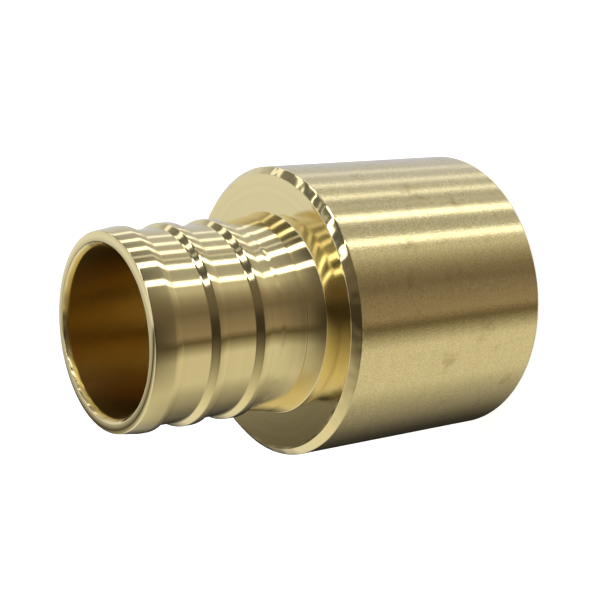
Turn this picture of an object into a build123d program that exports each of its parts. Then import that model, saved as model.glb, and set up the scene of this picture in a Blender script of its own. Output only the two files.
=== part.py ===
"""Brass adapter from crimped PEX tube to soldered copper tube, turned in one piece.

The adapter stands on its socket end, with +Z up along its axis and its origin at
the centre of the socket's rim. From the bottom up it has a solder socket inside a
thick cylindrical body, a flat shoulder where the PEX tube stops, and a ribbed
insert that the PEX tube slides over before a crimp ring is squeezed round it.
All sizes are in millimetres.
"""

import os

from build123d import *

# Solder socket and the body round it
socket_diameter = 22.35
socket_depth = 19.05
socket_wall = 2.025
socket_floor = 2.35
socket_lead_in = 0.4
rim_edge_break = 0.2
body_chamfer = 0.65

# Ribbed insert
bore_diameter = 14.7
bore_edge_chamfer = 0.4
insert_wall = 1.0
insert_length = 16.7
rib_height = 0.55

# First rib, which is also the nose: it tapers out from the end face to a crest
nose_face_width = 0.55
nose_edge_length = 0.12
nose_edge_rise = 0.3
nose_taper_length = 1.8
nose_crest_width = 0.6

# Crimping ribs behind it: a short ramp up, a level crest and a sharp back
rib_pitch = 4.4
rib_count = 2
rib_ramp_length = 0.5
rib_crest_width = 0.9

# Landing behind the ribs, which flares to a collar ahead of the neck
collar_height = 0.4
collar_setback = 1.75
neck_depth = 0.3
neck_fillet = 0.7

# Radii from the axis
socket_radius = socket_diameter / 2
body_radius = socket_radius + socket_wall
bore_radius = bore_diameter / 2
bore_mouth_radius = bore_radius + bore_edge_chamfer
root_radius = bore_radius + insert_wall
crest_radius = root_radius + rib_height
nose_edge_radius = root_radius + nose_edge_rise
collar_radius = root_radius + collar_height
neck_radius = collar_radius - neck_depth

# Levels above the socket's rim
shoulder_level = socket_depth + socket_floor
nose_level = shoulder_level + insert_length
nose_edge_level = nose_level - nose_edge_length
nose_crest_level = nose_edge_level - nose_taper_length
nose_back_level = nose_crest_level - nose_crest_width
last_back_level = nose_back_level - rib_count * rib_pitch
collar_level = shoulder_level + collar_setback
landing_level = (last_back_level + collar_level) / 2

with BuildPart() as adapter:
    # Half section of the turned blank, with arcs at the landing's flare and the neck
    with BuildSketch(Plane.XZ):
        with BuildLine():
            flare_start = (root_radius, landing_level)
            collar_edge = (collar_radius, collar_level)
            neck_top = (neck_radius, shoulder_level + neck_fillet)
            neck_foot = (neck_radius + neck_fillet, shoulder_level)
            TangentArc(flare_start, collar_edge, tangent=(0, -1))
            Polyline(collar_edge, (neck_radius, collar_level), neck_top)
            TangentArc(neck_top, neck_foot, tangent=(0, -1))
            Polyline(
                neck_foot,
                (body_radius - body_chamfer, shoulder_level),
                (body_radius, shoulder_level - body_chamfer),
                (body_radius, rim_edge_break),
                (body_radius - rim_edge_break, 0),
                (socket_radius + socket_lead_in, 0),
                (socket_radius, socket_lead_in),
                (socket_radius, socket_depth),
                (bore_radius, socket_depth),
                (bore_radius, nose_level - bore_edge_chamfer),
                (bore_mouth_radius, nose_level),
                (bore_mouth_radius + nose_face_width, nose_level),
                (nose_edge_radius, nose_edge_level),
                (crest_radius, nose_crest_level),
                (crest_radius, nose_back_level),
                (root_radius, nose_back_level),
                flare_start,
            )
        make_face()
    revolve(axis=Axis.Z)

    # Crimping ribs, each a turned ring that stands on the root diameter
    rib_foot_radius = root_radius - insert_wall / 2
    rib_length = rib_crest_width + rib_ramp_length
    rib_outline = [
        (rib_foot_radius, 0),
        (crest_radius, 0),
        (crest_radius, rib_crest_width),
        (root_radius, rib_length),
        (rib_foot_radius, rib_length),
    ]
    with BuildSketch(Plane.XZ):
        for rib in range(1, rib_count + 1):
            with Locations((0, nose_back_level - rib * rib_pitch)):
                Polygon(*rib_outline, align=None)
    revolve(axis=Axis.Z)

adapter.part.label = "pex_sweat_adapter"

os.makedirs("parts", exist_ok=True)
export_step(adapter.part, "parts/pex_sweat_adapter.step")
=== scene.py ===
"""Looks of a turned brass adapter that joins crimped PEX tube to soldered copper tube.

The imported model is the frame. One piece stands for its only node: the same turned
form, spun finer, with the small edge rounds that a lathe and a tumbling barrel
leave. Lengths are in metres unless a name says millimetres.
"""

import logging
import math
from dataclasses import dataclass, field
from enum import Enum

import bmesh
import bpy
from mathutils import Matrix, Quaternion, Vector


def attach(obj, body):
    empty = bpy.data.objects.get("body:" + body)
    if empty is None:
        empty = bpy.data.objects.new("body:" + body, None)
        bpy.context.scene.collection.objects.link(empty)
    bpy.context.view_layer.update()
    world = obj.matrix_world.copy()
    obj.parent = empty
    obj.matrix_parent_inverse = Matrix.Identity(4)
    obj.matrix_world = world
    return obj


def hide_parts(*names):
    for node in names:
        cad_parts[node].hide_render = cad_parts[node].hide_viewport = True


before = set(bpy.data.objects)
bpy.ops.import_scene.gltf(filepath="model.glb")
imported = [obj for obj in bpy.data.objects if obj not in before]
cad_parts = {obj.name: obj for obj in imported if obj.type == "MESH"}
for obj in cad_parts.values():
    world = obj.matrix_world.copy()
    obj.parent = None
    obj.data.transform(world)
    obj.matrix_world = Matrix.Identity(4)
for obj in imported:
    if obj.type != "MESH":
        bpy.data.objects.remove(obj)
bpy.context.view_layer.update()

log = logging.getLogger("adapter")

MM = 0.001
NODE = "pex_sweat_adapter"
BODY = "root"
FULL_TURN = 2 * math.pi


class Edge(Enum):
    """How far a corner of the half section is rounded, in millimetres."""

    BROKEN = 0.10
    CRISP = 0.05
    ROOT = 0.08


def linear(hex_colour: str) -> tuple[float, float, float, float]:
    """Turn an sRGB hex colour into the linear values that shaders take.

    Args:
        hex_colour: six hex digits, with or without a leading hash.

    Returns:
        Red, green, blue and an alpha of one.
    """
    digits = hex_colour.lstrip("#")
    channels = [int(digits[k : k + 2], 16) / 255 for k in (0, 2, 4)]
    values = [c / 12.92 if c <= 0.04045 else ((c + 0.055) / 1.055) ** 2.4 for c in channels]
    return (values[0], values[1], values[2], 1.0)


def add_node(
    tree: bpy.types.NodeTree,
    kind: str,
    settings: dict[str, object] | None = None,
    **inputs: object,
) -> bpy.types.Node:
    """Add a node, set its properties and set or link its inputs.

    Args:
        tree: the node tree that gets the node.
        kind: the node's type name.
        settings: properties of the node itself, by name.
        inputs: values or output sockets, by input name with underscores for spaces,
            or in_0, in_1 and so on for an input by its number.

    Returns:
        The new node.
    """
    node = tree.nodes.new(kind)
    for name, value in (settings or {}).items():
        setattr(node, name, value)
    for name, value in inputs.items():
        key = int(name[3:]) if name.startswith("in_") else name.replace("_", " ")
        socket = node.inputs[key]
        if isinstance(value, bpy.types.NodeSocket):
            tree.links.new(value, socket)
        else:
            socket.default_value = value
    return node


@dataclass(frozen=True)
class TurnedBrass:
    """Free-machining yellow brass, turned, tumbled and left bare.

    The tool leaves a fine spiral round the axis, so light spreads along the axis and
    stays sharp round it, which draws each lamp as a streak along the fitting. The
    insert is the brightest. Tumbling has dulled the body to a fine satin grain, and
    has knocked its front bevel and the bore's mouth, which sparkle. The drill leaves
    the bore dull; its deeper, darker gold is painted shade for the dim inside of the tube.
    """

    name: str = "turned_brass"
    colour: str = "#EADBA6"
    # The bore's darker gold is painted shade for the dim inside of the tube
    deep_colour: str = "#E4D299"
    bore_shade_colour: str = "#CDAE5E"
    smudge_colour: str = "#9C8452"
    insert_roughness: float = 0.11
    body_roughness: float = 0.14
    bore_roughness: float = 0.28
    anisotropy: float = 0.75
    # A quarter turn lays the blur across the tool's spiral, not along it
    blur_turn: float = 0.25
    # The real feed is about 0.05 mm; it is drawn three times coarser, so that it shows
    feed_mm: float = 0.16
    feed_depth_mm: float = 0.0006
    chatter_mm: float = 0.9
    # Real pits are a few hundredths of a millimetre; they are drawn four times coarser
    grain_mm: float = 0.16
    grain_span: tuple[float, float] = (0.25, 0.75)
    grain_contrast: float = 0.13
    grain_depth_mm: float = 0.0035
    smudge_mm: float = 2.6
    smudge_span: tuple[float, float] = (0.58, 0.80)
    smudge_cover: float = 0.55
    knock_mm: float = 1.1
    knock_depth_mm: float = 0.06
    noise_roughness: float = 0.55
    # Where one finish gives way to the next, by radius or by level
    bore_radii_mm: tuple[float, float] = (7.5, 7.65)
    body_levels_mm: tuple[float, float] = (20.72, 20.78)
    mouth_levels_mm: tuple[float, float] = (37.65, 37.75)
    mouth_radii_mm: tuple[float, float] = (7.78, 7.90)
    # On the bevel, radius and level add up to the same length
    bevel_sum_mm: float = 33.95
    bevel_reach_mm: tuple[float, float] = (0.12, 0.30)

    def find_zones(
        self,
        tree: bpy.types.NodeTree,
        level: bpy.types.NodeSocket,
        radius: bpy.types.NodeSocket,
        along: bpy.types.NodeSocket,
    ) -> dict[str, bpy.types.NodeSocket]:
        """Tell the bore, the body and the knocked edges apart by their places.

        Args:
            tree: the material's node tree.
            level: height above the rim.
            radius: distance from the axis.
            along: level and radius together.

        Returns:
            How far each zone holds, from 0 to 1, by its name.
        """
        offset = add_node(
            tree,
            "ShaderNodeMath",
            {"operation": "SUBTRACT"},
            in_0=along,
            in_1=self.bevel_sum_mm * MM,
        ).outputs["Value"]
        off_bevel = add_node(
            tree, "ShaderNodeMath", {"operation": "ABSOLUTE"}, in_0=offset
        ).outputs["Value"]
        bounds = {
            "bore": (radius, self.bore_radii_mm, (1.0, 0.0)),
            "body": (level, self.body_levels_mm, (1.0, 0.0)),
            "bevel": (off_bevel, self.bevel_reach_mm, (1.0, 0.0)),
            "top": (level, self.mouth_levels_mm, (0.0, 1.0)),
            "lip": (radius, self.mouth_radii_mm, (1.0, 0.0)),
        }
        zones = {
            name: add_node(
                tree,
                "ShaderNodeMapRange",
                Value=value,
                From_Min=limits[0] * MM,
                From_Max=limits[1] * MM,
                To_Min=ends[0],
                To_Max=ends[1],
            ).outputs["Result"]
            for name, (value, limits, ends) in bounds.items()
        }
        mouth = add_node(
            tree,
            "ShaderNodeMath",
            {"operation": "MULTIPLY"},
            in_0=zones["top"],
            in_1=zones["lip"],
        ).outputs["Value"]
        zones["knocked"] = add_node(
            tree,
            "ShaderNodeMath",
            {"operation": "MAXIMUM"},
            in_0=zones["bevel"],
            in_1=mouth,
        ).outputs["Value"]
        return zones

    def lay_patterns(
        self,
        tree: bpy.types.NodeTree,
        place: bpy.types.NodeSocket,
        along: bpy.types.NodeSocket,
    ) -> dict[str, bpy.types.NodeSocket]:
        """Lay the marks of the tool, the barrel and handling at their real sizes.

        Args:
            tree: the material's node tree.
            place: the place in space, for marks that lie about.
            along: the place along the section, for marks that run round the axis.

        Returns:
            The noise of each pattern, from 0 to 1, by its name.
        """
        patterns = {
            "feed": (self.feed_mm, 1.0, {"W": along}),
            "chatter": (self.chatter_mm, 2.0, {"W": along}),
            "grain": (self.grain_mm, 1.0, {"Vector": place}),
            "pits": (self.grain_mm, 0.0, {"Vector": place}),
            "smudge": (self.smudge_mm, 3.0, {"Vector": place}),
            "knock": (self.knock_mm, 0.0, {"Vector": place}),
        }
        return {
            name: add_node(
                tree,
                "ShaderNodeTexNoise",
                {"noise_dimensions": "1D" if "W" in where else "3D"},
                Scale=1 / (size_mm * MM),
                Detail=detail,
                Roughness=self.noise_roughness,
                **where,
            ).outputs["Fac"]
            for name, (size_mm, detail, where) in patterns.items()
        }

    def mix_tone(
        self,
        tree: bpy.types.NodeTree,
        zones: dict[str, bpy.types.NodeSocket],
        noise: dict[str, bpy.types.NodeSocket],
    ) -> bpy.types.NodeSocket:
        """Mix the colour: chatter, painted shade in the bore, smudges on the body and pits.

        Args:
            tree: the material's node tree.
            zones: how far each zone holds, by its name.
            noise: the noise of each pattern, by its name.

        Returns:
            The colour.
        """
        smudge = add_node(
            tree,
            "ShaderNodeMapRange",
            {"interpolation_type": "SMOOTHSTEP"},
            Value=noise["smudge"],
            From_Min=self.smudge_span[0],
            From_Max=self.smudge_span[1],
            To_Max=self.smudge_cover,
        ).outputs["Result"]
        smudged = add_node(
            tree,
            "ShaderNodeMath",
            {"operation": "MULTIPLY"},
            in_0=zones["body"],
            in_1=smudge,
        ).outputs["Value"]
        tone = linear(self.deep_colour)
        for share, colour in (
            (noise["chatter"], self.colour),
            # The bore gets a darker gold than the rest: painted shade inside the tube
            (zones["bore"], self.bore_shade_colour),
            (smudged, self.smudge_colour),
        ):
            tone = add_node(
                tree,
                "ShaderNodeMix",
                {"data_type": "RGBA"},
                in_0=share,
                in_6=tone,
                in_7=linear(colour),
            ).outputs[2]
        pits = add_node(
            tree,
            "ShaderNodeMapRange",
            Value=noise["pits"],
            From_Min=self.grain_span[0],
            From_Max=self.grain_span[1],
            To_Min=1.0 - self.grain_contrast,
            To_Max=1.0 + self.grain_contrast / 2,
        ).outputs["Result"]
        shade = add_node(
            tree,
            "ShaderNodeMix",
            {"data_type": "FLOAT"},
            in_0=zones["body"],
            in_2=1.0,
            in_3=pits,
        ).outputs[0]
        return add_node(
            tree, "ShaderNodeVectorMath", {"operation": "SCALE"}, in_0=tone, Scale=shade
        ).outputs["Vector"]

    def material(self) -> bpy.types.Material:
        """Build the node material.

        Returns:
            The finished material.
        """
        material = bpy.data.materials.new(self.name)
        material.use_nodes = True
        tree = material.node_tree
        tree.nodes.clear()
        place = add_node(tree, "ShaderNodeTexCoord").outputs["Object"]
        split = add_node(tree, "ShaderNodeSeparateXYZ", Vector=place)
        flat = add_node(tree, "ShaderNodeCombineXYZ", X=split.outputs["X"], Y=split.outputs["Y"])
        radius = add_node(
            tree, "ShaderNodeVectorMath", {"operation": "LENGTH"}, in_0=flat.outputs["Vector"]
        ).outputs["Value"]
        level = split.outputs["Z"]
        # Distance along the section: level on the cylinders, radius on the flat faces
        along = add_node(
            tree, "ShaderNodeMath", {"operation": "ADD"}, in_0=level, in_1=radius
        ).outputs["Value"]
        zones = self.find_zones(tree, level, radius, along)
        noise = self.lay_patterns(tree, place, along)

        relief: dict[str, bpy.types.NodeSocket] = {}
        for strength, depth_mm, height in (
            (1.0, self.feed_depth_mm, noise["feed"]),
            (zones["body"], self.grain_depth_mm, noise["grain"]),
            (zones["knocked"], self.knock_depth_mm, noise["knock"]),
        ):
            bump = add_node(
                tree,
                "ShaderNodeBump",
                Strength=strength,
                Distance=depth_mm * MM,
                Height=height,
                **relief,
            )
            relief = {"Normal": bump.outputs["Normal"]}

        roughness: float | bpy.types.NodeSocket = self.insert_roughness
        for zone, own in (("body", self.body_roughness), ("bore", self.bore_roughness)):
            roughness = add_node(
                tree,
                "ShaderNodeMath",
                {"operation": "MULTIPLY_ADD"},
                in_0=zones[zone],
                in_1=own - self.insert_roughness,
                in_2=roughness,
            ).outputs["Value"]

        tangent = add_node(
            tree, "ShaderNodeTangent", {"direction_type": "RADIAL", "axis": "Z"}
        ).outputs["Tangent"]
        shader = add_node(
            tree,
            "ShaderNodeBsdfPrincipled",
            Base_Color=self.mix_tone(tree, zones, noise),
            Metallic=1.0,
            Roughness=roughness,
            Anisotropic=self.anisotropy,
            Anisotropic_Rotation=self.blur_turn,
            Tangent=tangent,
            **relief,
        )
        add_node(tree, "ShaderNodeOutputMaterial", Surface=shader.outputs["BSDF"])
        return material


@dataclass
class Adapter:
    """The adapter itself: a solder socket below, a ribbed insert above, one turned piece.

    The insert's ribs and neck are 0.1 to 0.2 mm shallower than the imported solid's, so
    that light runs over them in nearly straight streaks, as on the real insert.
    """

    socket_diameter_mm: float = 22.35
    socket_depth_mm: float = 19.05
    socket_wall_mm: float = 2.025
    socket_floor_mm: float = 2.35
    socket_lead_in_mm: float = 0.4
    rim_edge_break_mm: float = 0.2
    body_chamfer_mm: float = 0.65
    bore_diameter_mm: float = 14.7
    bore_edge_chamfer_mm: float = 0.4
    insert_wall_mm: float = 1.12
    insert_length_mm: float = 16.7
    rib_height_mm: float = 0.43
    nose_face_width_mm: float = 0.55
    nose_edge_length_mm: float = 0.12
    nose_edge_rise_mm: float = 0.18
    nose_taper_length_mm: float = 1.8
    nose_crest_width_mm: float = 0.6
    rib_pitch_mm: float = 4.4
    rib_count: int = 2
    rib_ramp_length_mm: float = 0.5
    rib_crest_width_mm: float = 0.9
    collar_height_mm: float = 0.32
    collar_setback_mm: float = 1.75
    neck_depth_mm: float = 0.08
    neck_spread_mm: float = 0.45
    landing_length_mm: float = 0.4
    finish: TurnedBrass = field(default_factory=TurnedBrass)
    spin_steps: int = 256
    flare_steps: int = 16
    edge_segments: int = 4
    merge_distance_mm: float = 0.0002
    # From 1 to 100; at 100 the larger face rules the shading where it meets a small one
    face_weight: int = 100

    def half_section(self) -> list[tuple[float, float, Edge | None]]:
        """List the corners of the half section, from the neck's foot round by the socket.

        Returns:
            Radius and level in millimetres, and how the corner is rounded.
        """
        socket = self.socket_diameter_mm / 2
        body = socket + self.socket_wall_mm
        bore = self.bore_diameter_mm / 2
        mouth = bore + self.bore_edge_chamfer_mm
        root = bore + self.insert_wall_mm
        crest = root + self.rib_height_mm
        collar = root + self.collar_height_mm
        neck = collar - self.neck_depth_mm
        shoulder = self.socket_depth_mm + self.socket_floor_mm
        nose = shoulder + self.insert_length_mm
        nose_edge = nose - self.nose_edge_length_mm
        nose_crest = nose_edge - self.nose_taper_length_mm
        nose_back = nose_crest - self.nose_crest_width_mm
        last_back = nose_back - self.rib_count * self.rib_pitch_mm
        collar_level = shoulder + self.collar_setback_mm
        landing = last_back - self.landing_length_mm
        corners = [
            (neck + self.neck_spread_mm, shoulder, Edge.ROOT),
            (body - self.body_chamfer_mm, shoulder, Edge.CRISP),
            (body, shoulder - self.body_chamfer_mm, Edge.BROKEN),
            (body, self.rim_edge_break_mm, Edge.BROKEN),
            (body - self.rim_edge_break_mm, 0.0, Edge.CRISP),
            (socket + self.socket_lead_in_mm, 0.0, Edge.CRISP),
            (socket, self.socket_lead_in_mm, Edge.CRISP),
            (socket, self.socket_depth_mm, Edge.ROOT),
            (bore, self.socket_depth_mm, Edge.CRISP),
            (bore, nose - self.bore_edge_chamfer_mm, Edge.BROKEN),
            (mouth, nose, Edge.CRISP),
            (mouth + self.nose_face_width_mm, nose, Edge.BROKEN),
            (root + self.nose_edge_rise_mm, nose_edge, Edge.BROKEN),
            (crest, nose_crest, Edge.BROKEN),
            (crest, nose_back, Edge.CRISP),
            (root, nose_back, Edge.ROOT),
        ]
        for rib in range(1, self.rib_count + 1):
            back = nose_back - rib * self.rib_pitch_mm
            crest_start = back + self.rib_crest_width_mm
            corners += [
                (root, crest_start + self.rib_ramp_length_mm, Edge.BROKEN),
                (crest, crest_start, Edge.BROKEN),
                (crest, back, Edge.CRISP),
                (root, back, Edge.ROOT),
            ]
        rise = self.collar_height_mm
        run = landing - collar_level
        flare_radius = (run**2 + rise**2) / (2 * rise)
        for step in range(self.flare_steps):
            drop = run * step / self.flare_steps
            swell = flare_radius - math.sqrt(flare_radius**2 - drop**2)
            corners.append((root + swell, landing - drop, None))
        corners += [
            (collar, collar_level, Edge.CRISP),
            (neck, collar_level, Edge.CRISP),
        ]
        return corners

    def build(self) -> bpy.types.Object:
        """Spin the half section round the axis and dress the result.

        Returns:
            The adapter's visual piece.
        """
        mesh = bmesh.new()
        corners = self.half_section()
        verts = [mesh.verts.new((r * MM, 0.0, z * MM)) for r, z, _ in corners]
        for here, there in zip(verts, verts[1:] + verts[:1]):
            mesh.edges.new((here, there))
        for kind in Edge:
            chosen = [v for v, corner in zip(verts, corners) if corner[2] is kind]
            bmesh.ops.bevel(
                mesh,
                geom=chosen,
                offset=kind.value * MM,
                affect="VERTICES",
                segments=self.edge_segments,
                profile=0.5,
                material=-1,
            )
        bmesh.ops.spin(
            mesh,
            geom=mesh.verts[:] + mesh.edges[:],
            cent=(0.0, 0.0, 0.0),
            axis=(0.0, 0.0, 1.0),
            angle=FULL_TURN,
            steps=self.spin_steps,
            use_merge=True,
        )
        bmesh.ops.remove_doubles(mesh, verts=mesh.verts, dist=self.merge_distance_mm * MM)
        bmesh.ops.recalc_face_normals(mesh, faces=mesh.faces)
        for face in mesh.faces:
            face.smooth = True
        data = bpy.data.meshes.new("turned_adapter")
        mesh.to_mesh(data)
        mesh.free()
        piece = bpy.data.objects.new("turned_adapter", data)
        bpy.context.scene.collection.objects.link(piece)
        data.materials.append(self.finish.material())
        weighted = piece.modifiers.new("even_normals", "WEIGHTED_NORMAL")
        weighted.mode = "FACE_AREA"
        weighted.weight = self.face_weight
        weighted.keep_sharp = True
        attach(piece, BODY)
        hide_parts(NODE)
        return piece


@dataclass(frozen=True)
class Stop:
    """Light of the surroundings at one bearing.

    Bearings are degrees from the camera's side towards +X.
    """

    bearing: float
    strength: float
    colour: str


@dataclass(frozen=True)
class Strip:
    """An upright strip light, which fades out over its softness on both sides."""

    bearing: float
    half_width: float
    softness: float
    strength: float
    colour: str = "#FFFFFF"


@dataclass
class Studio:
    """Floor, surroundings and camera."""

    floor_size: float = 6.0
    floor_colour: str = "#F0F0F0"
    # Light that only the camera sees, so that the lit floor reaches white
    floor_lift: float = 0.75
    lens_mm: float = 87.17
    sensor_mm: float = 36.0
    eye_distance_mm: float = 110.16
    eye_level_mm: float = 94.57
    aim_mm: tuple[float, float, float] = (0.74, 0.0, 17.6)
    roll_degrees: float = -97.0
    near_clip: float = 0.001
    # Heights between which the light turns from the low set into the high one
    blend_low: float = -38.0
    blend_high: float = 6.0
    # The strips are dimmer where only the low set shows, and full from this blend on
    strip_low_gain: float = 0.45
    strip_full_at: float = 0.12
    # What lies below the level: a table's far side, a lit sheet on one side of the
    # camera, the dark lens and its stand ahead, and a paler sheet on the other side
    low: tuple[Stop, ...] = (
        Stop(-180.0, 0.01, "#FFF4E0"),
        Stop(-157.0, 0.02, "#FFF4E0"),
        Stop(-142.0, 0.04, "#FFF4E0"),
        Stop(-126.0, 0.12, "#FFF7E6"),
        Stop(-110.0, 0.28, "#FFF9EA"),
        Stop(-93.0, 0.46, "#FFFAEB"),
        Stop(-76.0, 0.74, "#FFFBED"),
        Stop(-42.0, 0.76, "#FFFBED"),
        Stop(-33.0, 0.42, "#FFF4DF"),
        Stop(-25.0, 0.13, "#FFE5AF"),
        Stop(-17.0, 0.35, "#FFEAD1"),
        Stop(0.0, 0.26, "#FFEAD1"),
        Stop(8.0, 0.20, "#FFE6CC"),
        Stop(17.0, 0.26, "#FFEAD1"),
        Stop(26.0, 0.40, "#FFF2E0"),
        Stop(36.0, 0.68, "#FFFAF0"),
        Stop(50.0, 0.52, "#FFFFFF"),
        Stop(76.0, 0.44, "#FAFAFF"),
        Stop(100.0, 0.60, "#F6F7FF"),
        Stop(117.0, 0.70, "#EEF1FF"),
        Stop(180.0, 0.74, "#EEF1FF"),
    )
    # What lies above the level: bright walls behind and beside, dark over the camera
    high: tuple[Stop, ...] = (
        Stop(-180.0, 0.60, "#FAFAFF"),
        Stop(-177.0, 0.36, "#FFFCF4"),
        Stop(-174.0, 0.10, "#FFEFCE"),
        Stop(-166.0, 0.09, "#FFEFCE"),
        Stop(-152.0, 0.40, "#FFFCF2"),
        Stop(-138.0, 0.90, "#FFFFFF"),
        Stop(-110.0, 0.90, "#FFFCF2"),
        Stop(-80.0, 0.62, "#FFFBED"),
        Stop(-55.0, 0.34, "#FFF6E4"),
        Stop(-34.0, 0.12, "#FFF0D8"),
        Stop(-20.0, 0.05, "#FFEAD1"),
        Stop(-4.0, 0.06, "#FFEAD1"),
        Stop(10.0, 0.13, "#FFEAD1"),
        Stop(36.0, 0.18, "#FFF2E0"),
        Stop(52.0, 0.09, "#FFFFFF"),
        Stop(110.0, 0.16, "#FFFFFF"),
        Stop(127.0, 0.34, "#FFFFFF"),
        Stop(142.0, 0.86, "#F6F8FF"),
        Stop(170.0, 0.96, "#F6F8FF"),
        Stop(176.0, 0.90, "#F6F8FF"),
        Stop(180.0, 0.60, "#FAFAFF"),
    )
    strips: tuple[Strip, ...] = (
        Strip(45.5, 2.2, 1.6, 3.4, "#F4F7FF"),
        Strip(68.5, 2.0, 1.6, 5.0, "#F4F7FF"),
        Strip(80.0, 0.6, 1.2, 0.7, "#F4F7FF"),
        Strip(92.0, 1.7, 1.5, 2.4, "#F4F7FF"),
        Strip(108.5, 1.7, 1.5, 1.8, "#F4F7FF"),
        Strip(127.0, 1.6, 2.0, 1.0, "#F4F7FF"),
    )

    def build_world(self) -> None:
        """Make the surroundings: white to the camera, a lit studio to the metal."""
        world = bpy.data.worlds.new("studio")
        bpy.context.scene.world = world
        world.use_nodes = True
        tree = world.node_tree
        tree.nodes.clear()
        facing = add_node(tree, "ShaderNodeTexCoord").outputs["Generated"]
        split = add_node(tree, "ShaderNodeSeparateXYZ", Vector=facing)
        behind = add_node(
            tree, "ShaderNodeMath", {"operation": "MULTIPLY"}, in_0=split.outputs["Y"], in_1=-1.0
        ).outputs["Value"]
        bearing = add_node(
            tree,
            "ShaderNodeMath",
            {"operation": "ARCTAN2"},
            in_0=split.outputs["X"],
            in_1=behind,
        ).outputs["Value"]
        height = add_node(
            tree, "ShaderNodeMath", {"operation": "ARCSINE"}, in_0=split.outputs["Z"]
        ).outputs["Value"]
        turn = add_node(
            tree,
            "ShaderNodeMath",
            {"operation": "MULTIPLY_ADD"},
            in_0=bearing,
            in_1=1 / FULL_TURN,
            in_2=0.5,
        ).outputs["Value"]
        above = add_node(
            tree,
            "ShaderNodeMapRange",
            {"interpolation_type": "SMOOTHSTEP"},
            Value=height,
            From_Min=math.radians(self.blend_low),
            From_Max=math.radians(self.blend_high),
        ).outputs["Result"]
        gain = add_node(
            tree,
            "ShaderNodeMapRange",
            Value=above,
            From_Max=self.strip_full_at,
            To_Min=self.strip_low_gain,
            To_Max=1.0,
        ).outputs["Result"]
        total = add_node(
            tree,
            "ShaderNodeMix",
            {"data_type": "RGBA"},
            in_0=above,
            in_6=self.light_by_bearing(tree, turn, self.low),
            in_7=self.light_by_bearing(tree, turn, self.high),
        ).outputs[2]
        for strip in self.strips:
            total = self.add_strip(tree, bearing, gain, strip, total)
        studio = add_node(tree, "ShaderNodeBackground", Color=total, Strength=1.0)
        white = add_node(tree, "ShaderNodeBackground", Color=(1.0, 1.0, 1.0, 1.0), Strength=1.0)
        path = add_node(tree, "ShaderNodeLightPath")
        seen = add_node(
            tree,
            "ShaderNodeMath",
            {"operation": "MAXIMUM"},
            in_0=path.outputs["Is Camera Ray"],
            in_1=path.outputs["Is Transmission Ray"],
        ).outputs["Value"]
        mixed = add_node(
            tree,
            "ShaderNodeMixShader",
            in_0=seen,
            in_1=studio.outputs["Background"],
            in_2=white.outputs["Background"],
        )
        add_node(tree, "ShaderNodeOutputWorld", Surface=mixed.outputs["Shader"])

    def light_by_bearing(
        self, tree: bpy.types.NodeTree, turn: bpy.types.NodeSocket, stops: tuple[Stop, ...]
    ) -> bpy.types.NodeSocket:
        """Add the light round the whole turn at one height.

        Args:
            tree: the world's node tree.
            turn: the bearing as a share of a turn, from 0 straight behind the adapter.
            stops: the light, bearing by bearing.

        Returns:
            The light.
        """
        node = add_node(tree, "ShaderNodeValToRGB", Fac=turn)
        elements = node.color_ramp.elements
        for stop in stops[1:-1]:
            elements.new((stop.bearing + 180.0) / 360.0)
        for element, stop in zip(elements, stops):
            tint = linear(stop.colour)
            element.color = (*(c * stop.strength for c in tint[:3]), 1.0)
        return node.outputs["Color"]

    def add_strip(
        self,
        tree: bpy.types.NodeTree,
        bearing: bpy.types.NodeSocket,
        gain: bpy.types.NodeSocket,
        strip: Strip,
        below: bpy.types.NodeSocket,
    ) -> bpy.types.NodeSocket:
        """Add one strip light to what the surroundings already give.

        Args:
            tree: the world's node tree.
            bearing: bearing of the direction looked in, in radians.
            gain: share of its strength that the strip has at this height.
            strip: the strip light.
            below: the light so far.

        Returns:
            The light with the strip added.
        """
        offset = add_node(
            tree,
            "ShaderNodeMath",
            {"operation": "SUBTRACT"},
            in_0=bearing,
            in_1=math.radians(strip.bearing),
        ).outputs["Value"]
        away = add_node(tree, "ShaderNodeMath", {"operation": "ABSOLUTE"}, in_0=offset)
        share = add_node(
            tree,
            "ShaderNodeMapRange",
            {"interpolation_type": "SMOOTHSTEP"},
            Value=away.outputs["Value"],
            From_Min=math.radians(strip.half_width),
            From_Max=math.radians(strip.half_width + strip.softness),
            To_Min=strip.strength,
            To_Max=0.0,
        ).outputs["Result"]
        share = add_node(
            tree, "ShaderNodeMath", {"operation": "MULTIPLY"}, in_0=share, in_1=gain
        ).outputs["Value"]
        tint = linear(strip.colour)
        lit = add_node(
            tree,
            "ShaderNodeVectorMath",
            {"operation": "SCALE"},
            in_0=(tint[0], tint[1], tint[2]),
            Scale=share,
        ).outputs["Vector"]
        return add_node(
            tree, "ShaderNodeVectorMath", {"operation": "ADD"}, in_0=below, in_1=lit
        ).outputs["Vector"]

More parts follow.
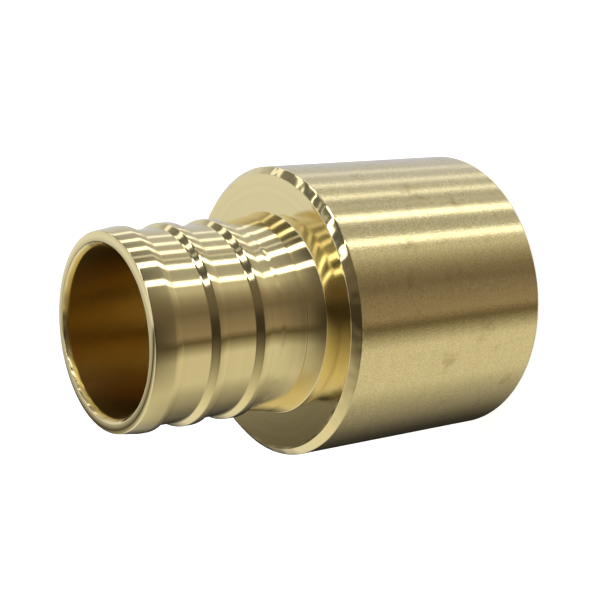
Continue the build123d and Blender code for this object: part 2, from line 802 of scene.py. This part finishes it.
    def build_floor(self) -> None:
        """Lay a plain white floor that keeps the adapter's shadow."""
        mesh = bmesh.new()
        bmesh.ops.create_grid(mesh, x_segments=1, y_segments=1, size=self.floor_size / 2)
        data = bpy.data.meshes.new("floor")
        mesh.to_mesh(data)
        mesh.free()
        floor = bpy.data.objects.new("floor", data)
        bpy.context.scene.collection.objects.link(floor)
        material = bpy.data.materials.new("floor_white")
        material.use_nodes = True
        tree = material.node_tree
        tree.nodes.clear()
        matte = add_node(tree, "ShaderNodeBsdfDiffuse", Color=linear(self.floor_colour))
        path = add_node(tree, "ShaderNodeLightPath")
        lift = add_node(
            tree,
            "ShaderNodeMath",
            {"operation": "MULTIPLY"},
            in_0=path.outputs["Is Camera Ray"],
            in_1=self.floor_lift,
        )
        glow = add_node(
            tree,
            "ShaderNodeEmission",
            Color=(1.0, 1.0, 1.0, 1.0),
            Strength=lift.outputs["Value"],
        )
        both = add_node(
            tree,
            "ShaderNodeAddShader",
            in_0=matte.outputs["BSDF"],
            in_1=glow.outputs["Emission"],
        )
        add_node(tree, "ShaderNodeOutputMaterial", Surface=both.outputs["Shader"])
        data.materials.append(material)
        floor.visible_glossy = False
        floor.visible_shadow = False

    def build_camera(self) -> None:
        """Set the camera beside and above the insert, turned on its side."""
        data = bpy.data.cameras.new("camera")
        data.sensor_width = self.sensor_mm
        data.lens = self.lens_mm
        data.clip_start = self.near_clip
        camera = bpy.data.objects.new("camera", data)
        eye = Vector((0.0, -self.eye_distance_mm, self.eye_level_mm)) * MM
        aim = Vector(self.aim_mm) * MM
        look = (aim - eye).to_track_quat("-Z", "Y")
        roll = Quaternion((0.0, 0.0, 1.0), math.radians(self.roll_degrees))
        camera.matrix_world = Matrix.Translation(eye) @ (look @ roll).to_matrix().to_4x4()
        bpy.context.scene.collection.objects.link(camera)
        bpy.context.scene.camera = camera


def main() -> None:
    """Build the adapter and its studio, and log the piece's face count."""
    logging.basicConfig(level=logging.INFO, format="%(name)s: %(message)s")
    adapter = Adapter()
    piece = adapter.build()
    log.info("%s has %d faces", piece.name, len(piece.data.polygons))
    studio = Studio()
    studio.build_world()
    studio.build_floor()
    studio.build_camera()
    bpy.context.scene.view_settings.view_transform = "Standard"
    log.info("studio is set")


if __name__ == "__main__":
    main()
